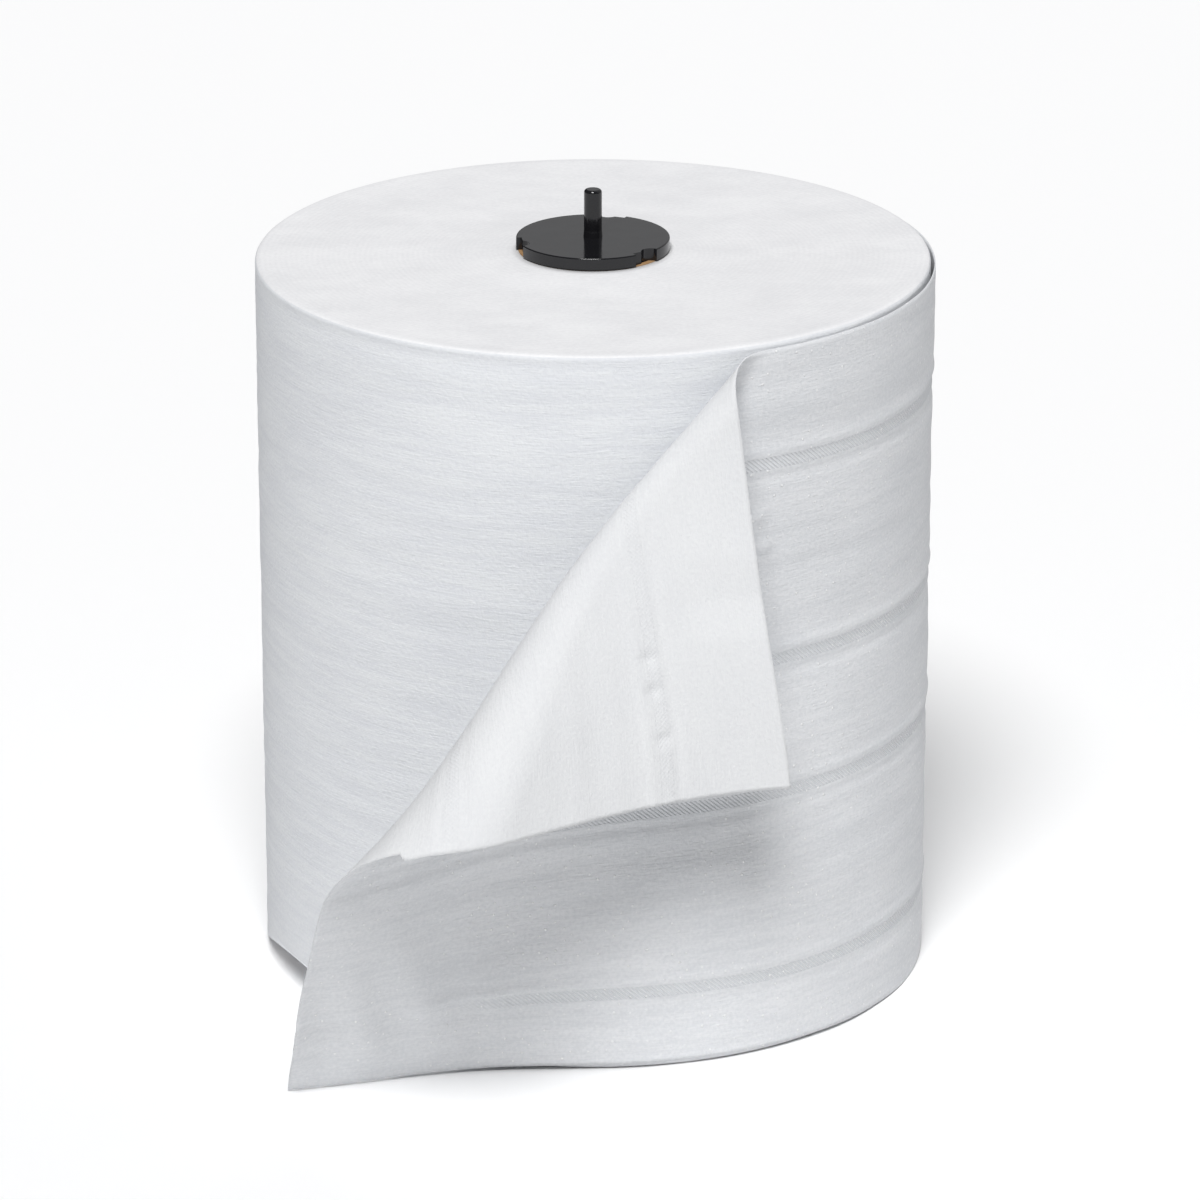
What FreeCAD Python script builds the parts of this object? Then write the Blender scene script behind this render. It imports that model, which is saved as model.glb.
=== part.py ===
# Paper towel roll for a wall dispenser: a hard-wound roll on a cardboard core, its loose end
# hanging free with the corner folded down, and a moulded plug with a spindle pin on top.
# Millimetres. The origin is on the roll's axis at the floor, +Z up.
# The roll is seen from -Y, and the loose end hangs towards -X.
import FreeCAD, Part
import math
import os

import Sketcher
from FreeCAD import Placement, Rotation, Vector

DRIVING_SIZES = {
    # wound roll: as high as the web is wide, and a little more because the turns wander
    "web_width": 208.0,
    "winding_wander": 2.0,
    "roll_radius": 95.8,
    "rim_round": 1.6,
    # cardboard core
    "core_bore_radius": 19.2,
    "core_wall": 2.0,
    "core_stand_out": 1.2,
    # seat at the core's upper end, pressed open by the plug's skirt and a little deeper than it
    "seat_widening": 0.3,
    "seat_end_gap": 0.5,
    # plug: flange on the core's end, skirt pushed into the bore, spindle pin
    "plug_turn": 63.6,
    "flange_radius": 21.8,
    "flange_thickness": 3.6,
    "flange_edge_round": 0.35,
    "skirt_clearance": 0.15,
    "skirt_wall": 1.6,
    "skirt_depth": 16.0,
    "skirt_lead_in": 0.8,
    "pin_radius": 2.55,
    "pin_length": 13.9,
    "pin_tip_round": 0.9,
    "pin_root_radius": 2.72,
    "pin_root_height": 2.0,
    # keying notches round the flange: a shallow step that ends in a round slot, both cut
    # from outlines that run a little past the flange's edge
    "notch_count": 3,
    "step_depth": 1.6,
    "step_sweep": 13.0,
    "slot_width": 5.4,
    "slot_depth": 2.8,
    "slot_angle": 14.8,
    "cut_past_edge": 1.0,
    # loose outer turn: where it lifts off the roll, and how far it stands off it
    "web_thickness": 0.4,
    "web_foot_gap": 0.3,
    "web_foot_lift": 1.4,
    "turn_slack_top": 1.1,
    "turn_slack_foot": 0.8,
    "turn_start_angle": 35.0,
    "turn_start_depth": 1.0,
    "turn_start_run": 16.0,
    "leave_angle_top": -58.3,
    "leave_angle_foot": -81.3,
    "leave_angle_bulge": 12.0,
    # hanging end, which bows towards the roll
    "free_length": 100.7,
    "bow_top": 15.6,
    "bow_foot": 4.4,
    # corner folded down over the hanging end
    "fold_along_top": 137.2,
    "fold_down_end": 144.6,
    "fold_turn": 159.5,
    "fold_radius_top": 10.0,
    "fold_radius_upper": 6.7,
    "fold_radius_lower": 13.9,
    "fold_radius_end": 24.7,
    # spacing of the points that the loose web's surface passes through, and half the span
    # over which its directions at the fold are measured
    "web_point_spacing": 5.0,
    "web_direction_span": 0.5,
}

# How closely a shape's own edges are told apart, and a thickened surface is followed
TOLERANCE = 1e-4

doc = FreeCAD.newDocument("paper_towel_roll")
sheet = doc.addObject("Spreadsheet::Sheet", "sizes")
for row, (alias, value) in enumerate(DRIVING_SIZES.items(), start=1):
    sheet.set("A%d" % row, alias)
    sheet.set("B%d" % row, "%g" % value)
    sheet.setAlias("B%d" % row, alias)
doc.recompute()


def size(alias):
    return float(sheet.get(alias))


# Expressions that several sub-parts share, and what they come to
ROLL_HEIGHT = "sizes.web_width + sizes.winding_wander"
CORE_OUTER_RADIUS = "sizes.core_bore_radius + sizes.core_wall"
CORE_TOP = ROLL_HEIGHT + " + sizes.core_stand_out"
SEAT_RADIUS = "sizes.core_bore_radius + sizes.seat_widening"
SKIRT_RADIUS = SEAT_RADIUS + " - sizes.skirt_clearance"
CUT_RADIUS = "sizes.flange_radius + sizes.cut_past_edge"
FLANGE_TOP = CORE_TOP + " + sizes.flange_thickness"
# The flange's rounds take up at most half of what stands out past the skirt
FLANGE_STAND_OUT = "(sizes.flange_radius - (" + SKIRT_RADIUS + "))"
FLANGE_EDGE_ROUND = "min(sizes.flange_edge_round; " + FLANGE_STAND_OUT + " / 2)"

roll_height = size("web_width") + size("winding_wander")
core_outer_radius = size("core_bore_radius") + size("core_wall")
core_top = roll_height + size("core_stand_out")
seat_radius = size("core_bore_radius") + size("seat_widening")
skirt_radius = seat_radius - size("skirt_clearance")
flange_top = core_top + size("flange_thickness")


def new_body(label):
    body = doc.addObject("PartDesign::Body", label)
    body.Label = label
    return body


def origin_feature(body, role):
    return next(f for f in body.Origin.OriginFeatures if f.Role == role)


def new_sketch(body, name, plane="XY_Plane", height=None):
    """A sketch on one of the body's origin planes, raised by an expression if one is given."""
    sketch = body.newObject("Sketcher::SketchObject", name)
    sketch.AttachmentSupport = [(origin_feature(body, plane), "")]
    sketch.MapMode = "FlatFace"
    if height is not None:
        sketch.setExpression("AttachmentOffset.Base.z", height)
    return sketch


def bind(sketch, name, expression, *constraint):
    """Adds a dimension to the sketch and ties it to an expression of the sheet's cells."""
    index = sketch.addConstraint(Sketcher.Constraint(*constraint))
    sketch.renameConstraint(index, name)
    sketch.setExpression("Constraints." + name, expression)


def add_circle(sketch, name, radius, guess):
    """A circle about the origin."""
    index = sketch.addGeometry(Part.Circle(Vector(0, 0, 0), Vector(0, 0, 1), guess))
    sketch.addConstraint(Sketcher.Constraint("Coincident", index, 3, -1, 1))
    bind(sketch, name, radius, "Radius", index, guess)


def add_rectangle(sketch, expressions, guesses):
    """An upright rectangle: its left, right, low and high sides as expressions and as guesses."""
    left, right, low, high = guesses
    corners = [Vector(left, low, 0), Vector(right, low, 0), Vector(right, high, 0), Vector(left, high, 0)]
    for start, end in zip(corners, corners[1:] + corners[:1]):
        sketch.addGeometry(Part.LineSegment(start, end))
    for side in range(4):
        sketch.addConstraint(Sketcher.Constraint("Coincident", side, 2, (side + 1) % 4, 1))
        direction = "Horizontal" if side % 2 == 0 else "Vertical"
        sketch.addConstraint(Sketcher.Constraint(direction, side))
    bind(sketch, "left", expressions[0], "DistanceX", -1, 1, 0, 1, left)
    bind(sketch, "right", expressions[1], "DistanceX", -1, 1, 1, 1, right)
    bind(sketch, "low", expressions[2], "DistanceY", -1, 1, 0, 1, low)
    bind(sketch, "high", expressions[3], "DistanceY", -1, 1, 2, 1, high)


def pad(body, name, sketch, length, downwards=False):
    feature = body.newObject("PartDesign::Pad", name)
    feature.Profile = sketch
    feature.Reversed = downwards
    feature.setExpression("Length", length)
    doc.recompute()
    return feature


def pocket(body, name, sketch, length, upwards=False):
    feature = body.newObject("PartDesign::Pocket", name)
    feature.Profile = sketch
    feature.Reversed = upwards
    before = body.Shape.Volume
    feature.setExpression("Length", length)
    doc.recompute()
    if body.Shape.Volume >= before:
        raise RuntimeError(name + " cuts nothing")
    return feature


def rim_edges(feature, radius, height):
    """Names of the feature's edges that run round the axis at this radius and height."""
    names = []
    for number, edge in enumerate(feature.Shape.Edges, start=1):
        curve = edge.Curve
        if not isinstance(curve, Part.Circle):
            continue
        off_axis = math.hypot(curve.Center.x, curve.Center.y)
        misses = [off_axis, abs(curve.Radius - radius), abs(curve.Center.z - height)]
        if max(misses) < TOLERANCE:
            names.append("Edge%d" % number)
    return names


def dress_edges(body, kind, name, base, edges, amount):
    """A fillet or chamfer on the named edges of the feature before it."""
    feature = body.newObject("PartDesign::" + kind, name)
    feature.Base = (base, edges)
    feature.setExpression("Radius" if kind == "Fillet" else "Size", amount)
    doc.recompute()
    return feature


def build_core_tube():
    """Spirally wound cardboard tube, standing a little proud of the paper at the top, where
    the plug's skirt has pressed its bore open."""
    body = new_body("core_tube")
    ring = new_sketch(body, "core_ring")
    add_circle(ring, "bore", "sizes.core_bore_radius", size("core_bore_radius"))
    add_circle(ring, "outside", CORE_OUTER_RADIUS, core_outer_radius)
    pad(body, "core_wall_length", ring, CORE_TOP)
    seat = new_sketch(body, "seat_outline", height=CORE_TOP)
    add_circle(seat, "seat", SEAT_RADIUS, seat_radius)
    pocket(body, "plug_seat", seat, "sizes.skirt_depth + sizes.seat_end_gap")
    return body


def build_wound_turns():
    """All the tightly wound turns as one ring of paper, its outer rims slightly rounded."""
    body = new_body("wound_turns")
    ring = new_sketch(body, "paper_ring")
    add_circle(ring, "inside", CORE_OUTER_RADIUS, core_outer_radius)
    add_circle(ring, "outside", "sizes.roll_radius", size("roll_radius"))
    paper = pad(body, "paper_height", ring, ROLL_HEIGHT)
    rims = rim_edges(paper, size("roll_radius"), 0.0)
    rims += rim_edges(paper, size("roll_radius"), roll_height)
    dress_edges(body, "Fillet", "rims", paper, rims, "sizes.rim_round")
    return body


def add_notches(body):
    """A step swept round the flange's edge, ending in a round-bottomed slot, and its copies."""
    step_outline = new_sketch(body, "step_outline", "XZ_Plane")
    step_radius = size("flange_radius") - size("step_depth")
    outer = size("flange_radius") + size("cut_past_edge")
    sides = ["sizes.flange_radius - sizes.step_depth", CUT_RADIUS, CORE_TOP, FLANGE_TOP]
    add_rectangle(step_outline, sides, [step_radius, outer, core_top, flange_top])
    before = body.Shape.Volume
    step = body.newObject("PartDesign::Groove", "step")
    step.Profile = step_outline
    step.ReferenceAxis = (step_outline, ["V_Axis"])
    step.setExpression("Angle", "sizes.step_sweep")
    doc.recompute()
    if body.Shape.Volume >= before:
        raise RuntimeError("the notch's step cuts nothing")

    slot_outline = new_sketch(body, "slot_outline", "XY_Plane", FLANGE_TOP)
    slot_outline.setExpression("AttachmentOffset.Rotation.Angle", "sizes.slot_angle")
    add_slot(slot_outline)
    slot = pocket(body, "slot", slot_outline, "sizes.flange_thickness")

    copies = body.newObject("PartDesign::PolarPattern", "notches")
    copies.Originals = [step, slot]
    copies.Axis = (origin_feature(body, "Z_Axis"), [""])
    copies.Angle = 360
    copies.setExpression("Occurrences", "sizes.notch_count")
    body.Tip = copies
    doc.recompute()


def add_slot(sketch):
    """A slot that comes in from beyond the flange's edge along +X and ends in a half round."""
    half = size("slot_width") / 2
    centre = size("flange_radius") - size("slot_depth") + half
    outer = size("flange_radius") + size("cut_past_edge")
    sketch.addGeometry(Part.LineSegment(Vector(outer, half, 0), Vector(centre, half, 0)))
    half_round = Part.Circle(Vector(centre, 0, 0), Vector(0, 0, 1), half)
    sketch.addGeometry(Part.ArcOfCircle(half_round, math.pi / 2, math.pi * 3 / 2))
    sketch.addGeometry(Part.LineSegment(Vector(centre, -half, 0), Vector(outer, -half, 0)))
    sketch.addGeometry(Part.LineSegment(Vector(outer, -half, 0), Vector(outer, half, 0)))
    sketch.addConstraint(Sketcher.Constraint("Tangent", 0, 2, 1, 1))
    sketch.addConstraint(Sketcher.Constraint("Tangent", 1, 2, 2, 1))
    sketch.addConstraint(Sketcher.Constraint("Coincident", 2, 2, 3, 1))
    sketch.addConstraint(Sketcher.Constraint("Coincident", 3, 2, 0, 1))
    sketch.addConstraint(Sketcher.Constraint("Vertical", 3))
    sketch.addConstraint(Sketcher.Constraint("Horizontal", 0))
    sketch.addConstraint(Sketcher.Constraint("PointOnObject", 1, 3, -1))
    bind(sketch, "half_round", "sizes.slot_width / 2", "Radius", 1, half)
    bind(sketch, "centre", "sizes.flange_radius - sizes.slot_depth + sizes.slot_width / 2",
         "DistanceX", -1, 1, 1, 3, centre)
    bind(sketch, "beyond_edge", CUT_RADIUS, "DistanceX", -1, 1, 3, 1, outer)


def build_spindle_plug():
    """Moulded plug: a notched flange on the core's end, a hollow skirt in its bore and a pin."""
    body = new_body("spindle_plug")
    disc = new_sketch(body, "flange_outline", height=CORE_TOP)
    add_circle(disc, "edge", "sizes.flange_radius", size("flange_radius"))
    pad(body, "flange", disc, "sizes.flange_thickness")

    skirt_outline = new_sketch(body, "skirt_outline", height=CORE_TOP)
    add_circle(skirt_outline, "outside", SKIRT_RADIUS, skirt_radius)
    pad(body, "skirt", skirt_outline, "sizes.skirt_depth", downwards=True)
    hollow_outline = new_sketch(body, "hollow_outline", height=CORE_TOP + " - sizes.skirt_depth")
    add_circle(hollow_outline, "inside", SKIRT_RADIUS + " - sizes.skirt_wall",
               skirt_radius - size("skirt_wall"))
    pocket(body, "skirt_hollow", hollow_outline, "sizes.skirt_depth", upwards=True)

    pin_outline = new_sketch(body, "pin_outline", height=FLANGE_TOP)
    add_circle(pin_outline, "outside", "sizes.pin_radius", size("pin_radius"))
    pad(body, "pin", pin_outline, "sizes.pin_length")
    root = body.newObject("PartDesign::AdditiveCone", "pin_root")
    root.AttachmentSupport = [(origin_feature(body, "XY_Plane"), "")]
    root.MapMode = "FlatFace"
    root.setExpression("AttachmentOffset.Base.z", FLANGE_TOP)
    root.setExpression("Radius1", "sizes.pin_root_radius")
    root.setExpression("Radius2", "sizes.pin_radius")
    root.setExpression("Height", "sizes.pin_root_height")
    doc.recompute()

    tip = rim_edges(root, size("pin_radius"), flange_top + size("pin_length"))
    tip_round = dress_edges(body, "Fillet", "tip_round", root, tip, "sizes.pin_tip_round")
    edges = rim_edges(tip_round, size("flange_radius"), flange_top)
    edges += rim_edges(tip_round, size("flange_radius"), core_top)
    edge_round = dress_edges(body, "Fillet", "edge_round", tip_round, edges, FLANGE_EDGE_ROUND)
    mouth = rim_edges(edge_round, skirt_radius, core_top - size("skirt_depth"))
    dress_edges(body, "Chamfer", "lead_in", edge_round, mouth, "sizes.skirt_lead_in")

    add_notches(body)
    body.Placement = Placement(Vector(0, 0, 0), Rotation(Vector(0, 0, 1), 1))
    body.setExpression("Placement.Rotation.Angle", "sizes.plug_turn")
    return body


def clamp(value, low, high):
    return max(low, min(high, value))


def smooth_step(value):
    """Runs from 0 to 1 with no slope at either end."""
    value = clamp(value, 0.0, 1.0)
    return value * value * (3.0 - 2.0 * value)


class LooseWeb:
    """The outer face of the loose web. A place on it is (along, up): the distance from its
    cut end along the web, and the height above its lower edge."""

    def __init__(self):
        self.width = size("web_width")
        self.fold_start = Vector(size("fold_along_top"), self.width, 0)
        fold_end = Vector(0, self.width - size("fold_down_end"), 0)
        self.fold_length = (fold_end - self.fold_start).Length
        self.fold_line = (fold_end - self.fold_start).normalize()
        self.to_corner = Vector(self.fold_line.y, -self.fold_line.x, 0)

    def turn_radius(self, share):
        """Radius of the loose turn, by the share of the web's width above its lower edge."""
        foot = size("turn_slack_foot")
        slack = foot + (size("turn_slack_top") - foot) * share
        return size("roll_radius") + slack

    def leave_angle(self, share):
        """Where round the axis the web leaves the roll, in radians."""
        foot = size("leave_angle_foot")
        straight = foot + (size("leave_angle_top") - foot) * share
        return math.radians(straight + size("leave_angle_bulge") * 4 * share * (1 - share))

    def hanging_length(self, share):
        """Length from the cut end to where the web leaves the roll."""
        turned = self.leave_angle(share) - math.radians(size("leave_angle_foot"))
        return size("free_length") + self.turn_radius(share) * turned

    def full_length(self, share):
        """Length from the cut end to where the loose turn joins the wound turns."""
        turned = math.radians(size("turn_start_angle")) - self.leave_angle(share)
        return self.hanging_length(share) + self.turn_radius(share) * turned

    def flat_corner_point(self, along, up):
        """Where the place lies while the corner isn't folded."""
        share = clamp(up / self.width, -0.2, 1.2)
        radius = self.turn_radius(share)
        hanging = self.hanging_length(share)
        angle = self.leave_angle(share)
        outward = Vector(math.cos(angle), math.sin(angle), 0)
        forward = Vector(math.sin(angle), -math.cos(angle), 0)
        free = hanging - along
        if free >= 0:
            bow = size("bow_foot") + (size("bow_top") - size("bow_foot")) * share
            towards_roll = bow * math.sin(math.pi * min(free / hanging, 1.0)) ** 2
            point = outward * (radius - towards_roll) + forward * free
        else:
            angle -= free / radius
            to_start = math.radians(size("turn_start_angle")) - angle
            rise = smooth_step(radius * to_start / size("turn_start_run"))
            start_radius = size("roll_radius") - size("turn_start_depth")
            local = start_radius + (radius - start_radius) * rise
            point = Vector(local * math.cos(angle), local * math.sin(angle), 0)
        rise_share = math.cos(math.pi / 2 * clamp(free / hanging, -1, 1))
        point.z = up + size("web_foot_gap") + size("web_foot_lift") * (1 - share) * rise_share
        return point

    def fold_radius(self, distance):
        """Radius of the fold, a cubic through its values at the top, each third and the end."""
        share = clamp(distance / self.fold_length, 0.0, 1.0)
        thirds = share * 3
        top = size("fold_radius_top") * (1 - thirds) * (2 - thirds) * (3 - thirds) / 6
        upper = size("fold_radius_upper") * thirds * (2 - thirds) * (3 - thirds) / 2
        lower = size("fold_radius_lower") * thirds * (thirds - 1) * (3 - thirds) / 2
        end = size("fold_radius_end") * thirds * (thirds - 1) * (thirds - 2) / 6
        return max(top + upper + lower + end, 2 * size("web_thickness"))

    def point(self, along, up):
        """Where the place lies with the corner folded down."""
        offset = Vector(along, up, 0) - self.fold_start
        past_fold = offset.dot(self.to_corner)
        if past_fold <= 0:
            return self.flat_corner_point(along, up)
        distance = offset.dot(self.fold_line)
        foot = self.fold_start + self.fold_line * distance
        base = self.flat_corner_point(foot.x, foot.y)
        nudge = size("web_direction_span")
        nearer = self.flat_corner_point(foot.x - nudge, foot.y)
        to_end = (nearer - self.flat_corner_point(foot.x + nudge, foot.y)).normalize()
        higher = self.flat_corner_point(foot.x, foot.y + nudge)
        to_top = higher - self.flat_corner_point(foot.x, foot.y - nudge)
        outward = to_top.cross(to_end).normalize()
        upward = to_end.cross(outward)
        across_fold = to_end * -self.to_corner.x + upward * self.to_corner.y
        radius = self.fold_radius(distance)
        full_turn = math.radians(size("fold_turn"))
        turned = min(past_fold / radius, full_turn)
        beyond = max(past_fold - full_turn * radius, 0.0)
        along_sheet = radius * math.sin(turned) + beyond * math.cos(full_turn)
        off_sheet = radius * (1 - math.cos(turned)) + beyond * math.sin(full_turn)
        return base + across_fold * along_sheet + outward * off_sheet


def build_loose_web():
    """The last turn of paper and its hanging end: one surface, thickened towards the roll."""
    web = LooseWeb()
    spacing = size("web_point_spacing")
    columns = round(web.full_length(0.5) / spacing)
    rows = round(web.width / spacing)
    grid = []
    for row in range(rows + 1):
        share = row / rows
        step = web.full_length(share) / columns
        grid.append([web.point(column * step, share * web.width) for column in range(columns + 1)])
    surface = Part.BSplineSurface()
    surface.interpolate(grid)
    outer_face = surface.toShape()
    feature = doc.addObject("Part::Feature", "loose_web")
    feature.Label = "loose_web"
    feature.Shape = outer_face.makeOffsetShape(-size("web_thickness"), TOLERANCE, fill=True)
    return feature


def build_paper_roll():
    """The wound turns and the loose web are one run of paper, so they are one solid."""
    roll = doc.addObject("Part::Fuse", "paper_roll")
    roll.Base = build_wound_turns()
    roll.Tool = build_loose_web()
    roll.Label = "paper_roll"
    return roll


def check(subparts):
    """Stops on any failed object and on any sub-part that isn't one valid solid."""
    for item in doc.Objects:
        if "Invalid" in item.State or "Error" in item.State:
            raise RuntimeError("%s failed: %s" % (item.Label, item.State))
    for item in subparts:
        shape = item.Shape
        if shape.isNull() or not shape.isValid() or len(shape.Solids) != 1:
            raise RuntimeError("%s isn't one valid solid" % item.Label)
        box = shape.BoundBox
        print("%-13s volume %11.1f  x %7.2f..%7.2f  y %7.2f..%7.2f  z %7.2f..%7.2f" % (
            item.Label, shape.Volume, box.XMin, box.XMax, box.YMin, box.YMax, box.ZMin, box.ZMax))


subparts = [build_paper_roll(), build_core_tube(), build_spindle_plug()]
doc.recompute()
check(subparts)
os.makedirs("parts", exist_ok=True)
for item in subparts:
    item.Shape.exportStep("parts/%s.step" % item.Label)
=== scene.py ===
# %% [markdown]
# # A paper towel roll, dressed round its solid model
#
# The object is a hard-wound roll of creped white hand towel for a wall dispenser. Its last turn
# has come loose: it leaves the roll at the front, hangs towards the left, and its upper corner is
# folded down. A black moulded plug with a spindle pin sits on the cardboard core.
#
# The solid model is loaded first, and nothing in it is moved. Everything here is in metres, with
# the roll's axis as Z and the floor at zero, so a new piece lies where the solids say.

# %% Load the solid model
import math

import bmesh
import bpy
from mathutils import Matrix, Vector, noise


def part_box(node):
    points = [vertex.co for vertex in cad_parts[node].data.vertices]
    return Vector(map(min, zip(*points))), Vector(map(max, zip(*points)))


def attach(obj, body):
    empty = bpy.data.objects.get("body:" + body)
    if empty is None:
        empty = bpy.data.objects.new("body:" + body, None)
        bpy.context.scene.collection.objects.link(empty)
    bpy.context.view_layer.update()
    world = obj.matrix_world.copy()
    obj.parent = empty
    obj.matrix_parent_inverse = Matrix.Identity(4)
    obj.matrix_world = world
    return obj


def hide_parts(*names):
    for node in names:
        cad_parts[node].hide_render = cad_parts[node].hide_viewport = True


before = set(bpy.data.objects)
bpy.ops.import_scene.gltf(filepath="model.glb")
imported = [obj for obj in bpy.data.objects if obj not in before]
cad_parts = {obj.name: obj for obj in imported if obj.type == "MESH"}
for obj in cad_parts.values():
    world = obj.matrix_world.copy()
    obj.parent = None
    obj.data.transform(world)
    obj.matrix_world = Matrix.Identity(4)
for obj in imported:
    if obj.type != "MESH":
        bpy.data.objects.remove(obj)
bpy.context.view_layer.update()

MM = 0.001
paper_low, paper_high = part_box("paper_roll")
core_low, core_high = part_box("core_tube")
plug_low, plug_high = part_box("spindle_plug")
for name, low, high in (
    ("paper", paper_low, paper_high),
    ("core", core_low, core_high),
    ("plug", plug_low, plug_high),
):
    measures = (name, (high.x - low.x) / MM, low.z / MM, high.z / MM)
    print("%s: %.1f mm across, from %.1f to %.1f mm up" % measures)

# %% [markdown]
# ## Camera
#
# A camera can be placed by eye or solved from the picture. This one was solved: a long lens on a
# tripod 1.8 m away, looking down by about 20 degrees with the roll's axis in the middle.

# %% Camera
CAMERA_TARGET = Vector((1.987, 0, 105)) * MM
CAMERA_DISTANCE = 1815.5 * MM
CAMERA_ELEVATION = math.radians(20.23)
PICTURE_PIXELS = 1200
FOCAL_PIXELS = 6277.8
SENSOR_WIDTH = 36

camera_data = bpy.data.cameras.new("camera")
camera_data.sensor_width = SENSOR_WIDTH
camera_data.lens = SENSOR_WIDTH * FOCAL_PIXELS / PICTURE_PIXELS
camera = bpy.data.objects.new("camera", camera_data)
back = Vector((0, -math.cos(CAMERA_ELEVATION), math.sin(CAMERA_ELEVATION)))
camera.location = CAMERA_TARGET + back * CAMERA_DISTANCE
camera.rotation_euler = (math.pi / 2 - CAMERA_ELEVATION, 0, 0)
bpy.context.scene.collection.objects.link(camera)
bpy.context.scene.camera = camera
print("lens %.1f mm, camera at" % camera_data.lens, camera.location)

# %% [markdown]
# ## Materials: two small helpers
#
# A material is a tree of nodes. Writing each node's settings and links by hand takes three or
# four lines, so one helper does all of it. Colours are picked as they look on a screen, in hex,
# and turned to the linear values that light is worked out with. In a Mix node set to colours,
# inputs 6 and 7 are the two colours and output 2 is what they mix to.

# %% Helpers for materials
def linear(hex_colour):
    """An sRGB hex colour as linear red, green, blue and alpha."""
    channels = [int(hex_colour[i:i + 2], 16) / 255 for i in (0, 2, 4)]
    return [c / 12.92 if c <= 0.04045 else ((c + 0.055) / 1.055) ** 2.4 for c in channels] + [1.0]


def add_node(tree, kind, inputs=None, **settings):
    """A new node. An input is given by its name or number, as a value or as a socket to link."""
    node = tree.nodes.new(kind)
    for name, value in settings.items():
        setattr(node, name, value)
    for name, value in (inputs or {}).items():
        if isinstance(value, bpy.types.NodeSocket):
            tree.links.new(value, node.inputs[name])
        else:
            node.inputs[name].default_value = value
    return node


def new_material(name):
    """An empty material and its tree, with the Principled shader already on the output."""
    material = bpy.data.materials.new(name)
    material.use_nodes = True
    tree = material.node_tree
    return material, tree, tree.nodes["Principled BSDF"]


# %% [markdown]
# ## Creped tissue, seen on its face
#
# Hand towel is wet-laid pulp scraped off a drying cylinder, which leaves fine ridges along the
# web. Its two plies are held together by rows of small embossed dots and by four knurled bands.
# It has no gloss, so its specular level is low and its roughness near one.
#
# The pattern has to follow the paper round the roll and over the fold. Object coordinates would
# slide through the fold, so the material reads the piece's UV map, which holds metres along the
# web and up its width. Four noises, each stretched to a real size, make the unevenness: long
# streaks from winding, the crepe's ridges, clouds in the pulp, and single fibres. The part of
# the web near the cut end has been handled, so the bands' grooves are worn flat there.

# %% Sizes of the tissue's pattern
WEB_WIDTH = 208 * MM
# How high up the web each band runs
BAND_HEIGHTS = [175 * MM, 117 * MM, 77 * MM, 22 * MM]
BAND_WIDTH = 3.6 * MM
BAND_PITCH = 0.9 * MM
BAND_SLANT = math.radians(48)
# The grooves are gone nearer to the cut end than this share of the distance worn
WORN_SHARE = 0.35
DOT_SPACING = 3.3 * MM
DOT_RADIUS = 0.36 * MM
DOT_SCATTER = 0.3
# A dot's soft edge runs between these shares of its radius
DOT_EDGE_OUTER = 1.3
DOT_EDGE_INNER = 0.6
# How dense the pulp is where the dots begin to show, and where they are whole
DOT_PRESS_FAINT = 0.34
DOT_PRESS_WHOLE = 0.56
SPECK_SPACING = 14 * MM
SPECK_RADIUS = 0.16 * MM
SPECK_STRENGTH = 0.45

# Length along the web, width up it, and how many finer layers each noise has
FACE_PATTERNS = {
    "streaks": (26 * MM, 2.4 * MM, 3.0),
    "crepe": (5 * MM, 0.5 * MM, 2.0),
    "clouds": (44 * MM, 22 * MM, 4.0),
    "fibres": (1.1 * MM, 1.1 * MM, 5.0),
}

# What each noise and the grooves add to the tone. The grooves' share is painted shade: it darkens
# the paper in them. Half a span below the middle tone the paper has the colour of its shade, and
# half a span above it that of its white.
CREPE_TONE = 0.25
CLOUDS_TONE = 0.35
FIBRES_TONE = 0.5
GROOVES_PAINTED_SHADE = -0.26
TONE_HALF_SPAN = 0.2

# How far each stands up, in millimetres
CREPE_RELIEF = 0.12
FIBRES_RELIEF = 0.16
STREAKS_RELIEF = 0.1
DOTS_RELIEF = 0.2
GROOVES_RELIEF = -0.15

# A wave texture repeats every pi / 10 of its own units
WAVE_TURN = math.pi / 10


# %% Bands of slanting grooves
def knurled_bands(tree, place, slants, worn):
    """One at the bottom of the bands' slanting grooves, zero between them and off the bands.
    The grooves are worn flat near the cut end and reach their full depth at the distance worn."""
    along, up = add_node(tree, "ShaderNodeSeparateXYZ", {"Vector": place}).outputs[:2]
    on_band = 0.0
    for height in BAND_HEIGHTS:
        limits = {0: up, 1: height, 2: BAND_WIDTH / 2}
        near = add_node(tree, "ShaderNodeMath", limits, operation="COMPARE")
        total = {0: near.outputs[0], 1: on_band}
        on_band = add_node(tree, "ShaderNodeMath", total, operation="ADD").outputs[0]
    grooves = 0.0
    for slant in slants:
        turned = add_node(tree, "ShaderNodeMapping", {"Vector": place, "Rotation": (0, 0, slant)})
        across = {"Vector": turned.outputs[0], "Scale": WAVE_TURN / BAND_PITCH}
        wave = add_node(tree, "ShaderNodeTexWave", across)
        share = {0: wave.outputs["Fac"], 1: 1 / len(slants), 2: grooves}
        grooves = add_node(tree, "ShaderNodeMath", share, operation="MULTIPLY_ADD").outputs[0]
    crisp = {"Value": along, "From Min": WORN_SHARE * worn, "From Max": worn}
    crispness = add_node(tree, "ShaderNodeMapRange", crisp, interpolation_type="SMOOTHSTEP")
    crisp_band = {0: crispness.outputs[0], 1: on_band}
    on_band = add_node(tree, "ShaderNodeMath", crisp_band, operation="MULTIPLY").outputs[0]
    both = {0: grooves, 1: on_band}
    return add_node(tree, "ShaderNodeMath", both, operation="MULTIPLY").outputs[0]


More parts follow.
